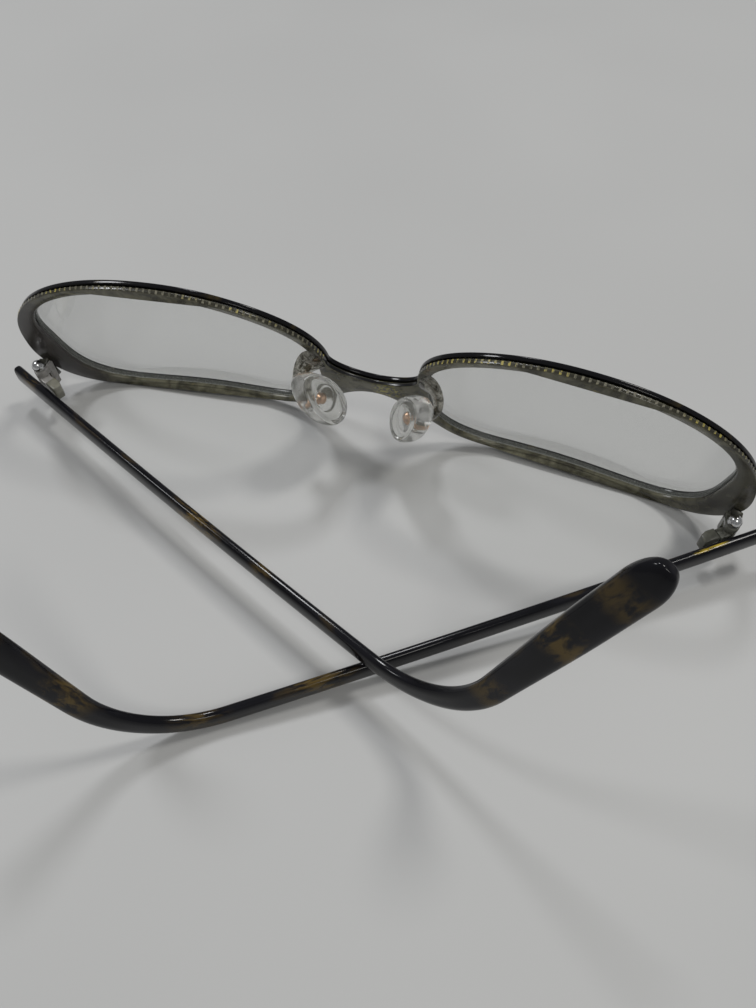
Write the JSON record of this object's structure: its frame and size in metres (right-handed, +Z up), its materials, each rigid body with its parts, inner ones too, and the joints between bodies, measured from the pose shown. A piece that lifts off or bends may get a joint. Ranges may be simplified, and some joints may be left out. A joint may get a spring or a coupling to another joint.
{
  "type": "eyeglasses",
  "caption": "Slim full rim eyeglasses with a dark tortoise and olive laminated front, silicone nose pads and folding temples with ear tips, upside down and half folded.",
  "frame": {"origin": "middle of the bounding box's bottom face, on the table the glasses lie on", "axes": "+X across the front, +Y forwards, away from the wearer, +Z up from the table; the glasses lie upside down, so +Z points to the wearer's feet when worn"},
  "size_m": [0.1383, 0.0721, 0.0521],
  "materials": {
    "tortoise": "polished, near black with amber streaks",
    "olive": "polished, translucent olive grey",
    "lens": "clear",
    "clear_moulding": "clear, faintly olive",
    "silicone": "clear silicone, slightly frosted",
    "stud": "copper coloured metal",
    "steel": "polished steel"
  },
  "bodies": {
    "front": {"front_tortoise": "tortoise", "front_olive": "olive", "lens_left": "lens", "lens_right": "lens", "pad_boss_left": "clear_moulding", "pad_boss_right": "clear_moulding", "pad_stud_left": "stud", "pad_stud_right": "stud", "hinge_stem_left": "olive", "hinge_stem_right": "olive", "front_knuckle_left": "clear_moulding", "front_knuckle_right": "clear_moulding", "hinge_screw_left": "steel", "hinge_screw_right": "steel"},
    "left_temple": {"temple_left": "tortoise", "core_wire_left": "steel", "hinge_block_left": "olive", "temple_knuckle_left": "clear_moulding"},
    "left_pad": {"nose_pad_left": "silicone"},
    "right_temple": {"temple_right": "tortoise", "core_wire_right": "steel", "hinge_block_right": "olive", "temple_knuckle_right": "clear_moulding"},
    "right_pad": {"nose_pad_right": "silicone"}
  },
  "joints": [
    {"name": "temple_left_fold", "type": "hinge", "parent": "front", "child": "left_temple", "pos_m": [-0.0633, 0.0226, 0.00699], "axis": [-0.0213, 0.0101, 0.9997], "range_deg": [-21, 20]},
    {"name": "temple_right_fold", "type": "hinge", "parent": "front", "child": "right_temple", "pos_m": [0.0633, 0.0226, 0.00699], "axis": [0.0492, 0.0332, -0.9982], "range_deg": [-55, 20]},
    {"name": "pad_left_rock", "type": "hinge", "parent": "front", "child": "left_pad", "pos_m": [-0.0082, 0.02473, 0.01589], "axis": [-0.4226, -0.313, 0.8506], "range_deg": [-8, 8]},
    {"name": "pad_right_rock", "type": "hinge", "parent": "front", "child": "right_pad", "pos_m": [0.0082, 0.02473, 0.01589], "axis": [0.4226, -0.313, 0.8506], "range_deg": [-8, 8]}
  ]
}
